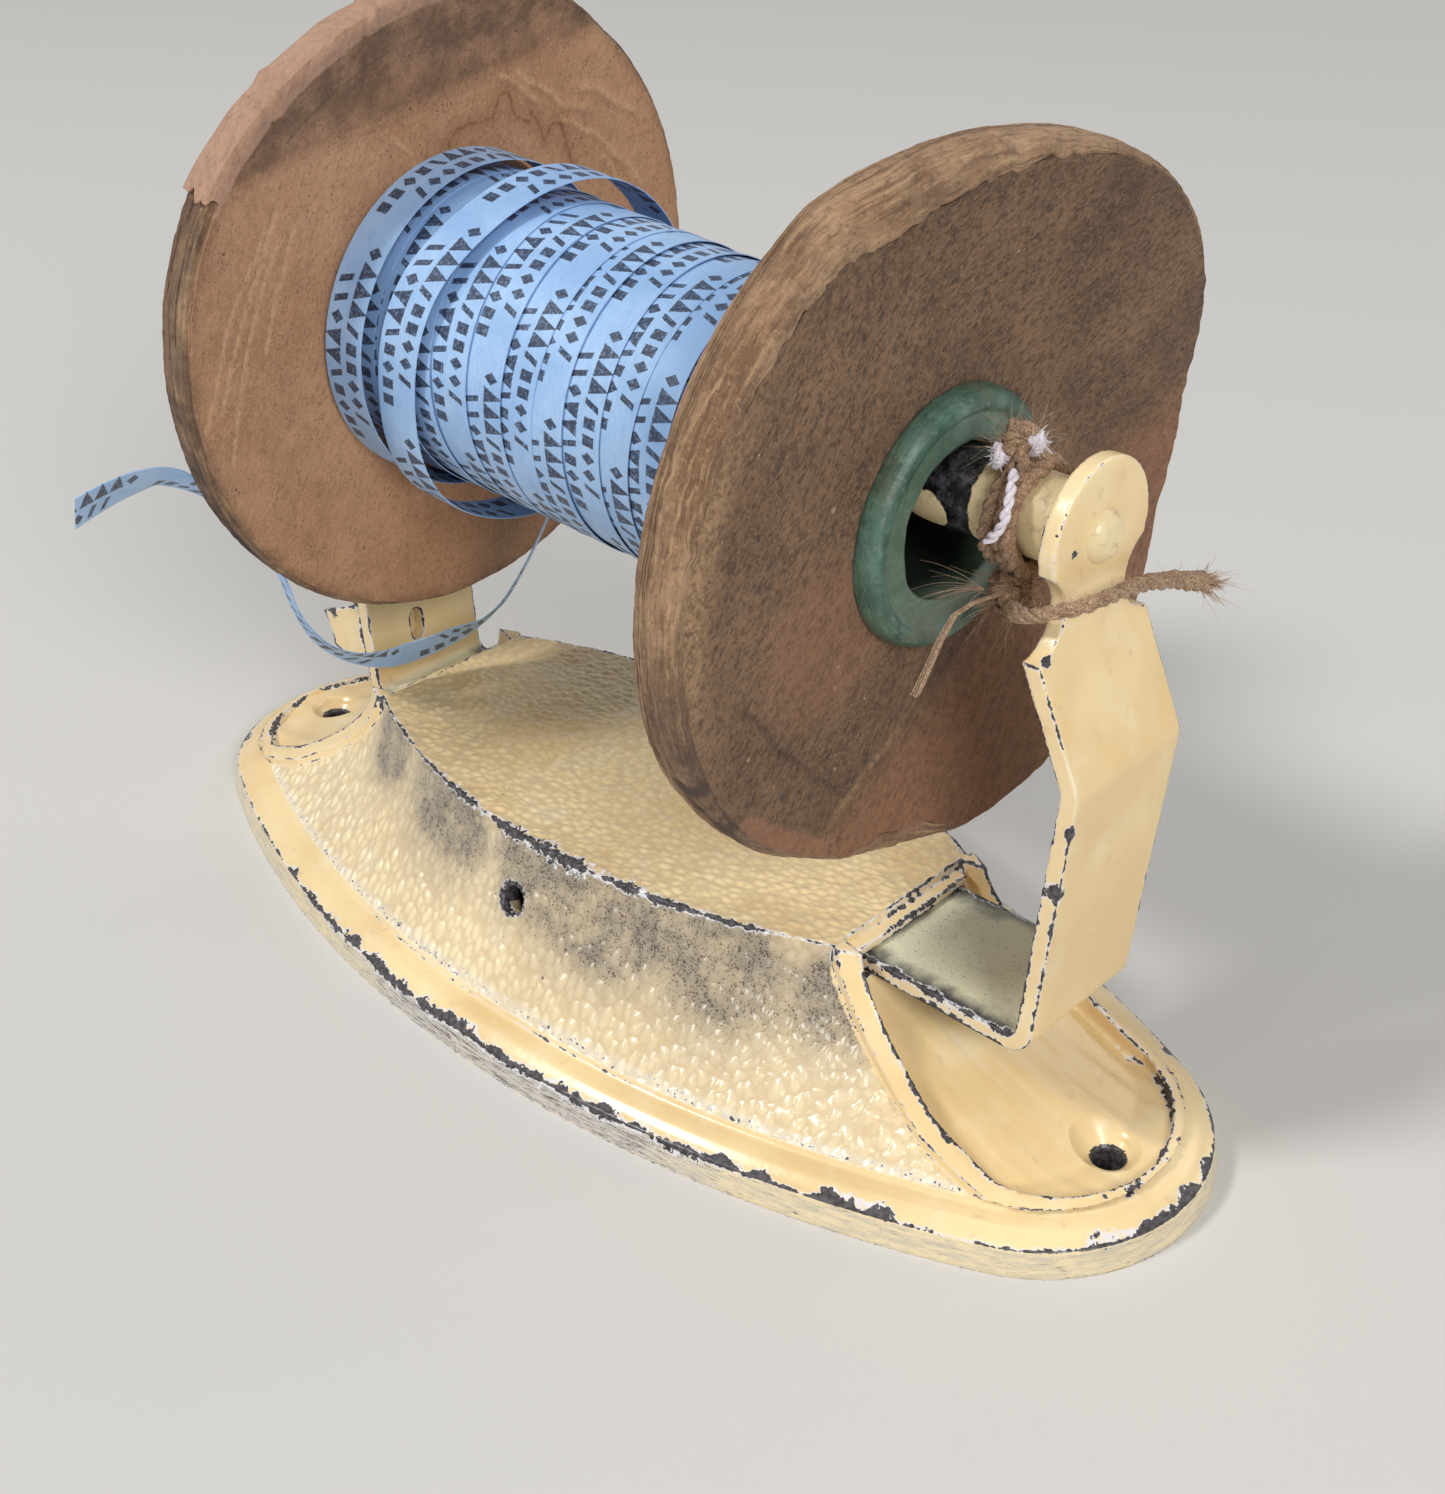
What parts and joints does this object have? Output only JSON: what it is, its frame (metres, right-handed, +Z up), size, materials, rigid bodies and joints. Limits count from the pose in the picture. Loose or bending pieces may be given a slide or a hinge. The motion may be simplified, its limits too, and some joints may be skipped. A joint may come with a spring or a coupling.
{
  "type": "tying tape dispenser",
  "caption": "Counter-top tape dispenser: oval iron foot, two adjustable strap arms with stub axles, and a flanged board spool wound with paper tape.",
  "frame": {"origin": "middle of the foot's underside", "axes": "+X to the right end, +Z up, the operator stands at -Y"},
  "size_m": [0.24, 0.132, 0.1717],
  "materials": {
    "iron": "cream enamel, pebbled, chipped",
    "strap": "cream enamel, chipped",
    "axle": "cream enamel worn to black",
    "steel": "dull",
    "board": "matt pulpboard",
    "kraft": "matt kraft paper",
    "collar": "mottled green, worn",
    "tape": "matt printed paper tape",
    "jute": "hairy twine"
  },
  "bodies": {
    "root": {"base_casting": "iron", "foot_washers": "steel", "foot_screws": "steel", "loose_tape": "tape"},
    "left_arm": {"left_arm": "strap", "left_axle": "axle", "left_tab": "strap", "left_tab_rivet": "steel"},
    "right_arm": {"right_arm": "strap", "right_axle": "axle", "twine_wraps": "jute", "twine_upper_knot": "jute", "twine_lower_knot": "jute", "twine_tail": "jute"},
    "spool": {"core_tube": "board", "left_collar": "collar", "right_collar": "collar", "left_bush": "board", "tape_winding": "tape", "loose_turn": "tape", "left_outer_facing": "kraft", "left_flange_board": "board", "left_inner_facing": "kraft", "right_inner_facing": "kraft", "right_flange_board": "board", "right_outer_facing": "kraft"}
  },
  "joints": [
    {"name": "spool_spin", "type": "hinge", "parent": "root", "child": "spool", "pos_m": [-0.05, 0, 0.1141], "axis": [0.9988, 0, -0.0497], "continuous": true},
    {"name": "left_arm_slide", "type": "slide", "parent": "root", "child": "left_arm", "axis": [-1, 0, 0], "range_m": [0, 0.028]},
    {"name": "right_arm_slide", "type": "slide", "parent": "root", "child": "right_arm", "axis": [1, 0, 0], "range_m": [0, 0.0075]}
  ]
}
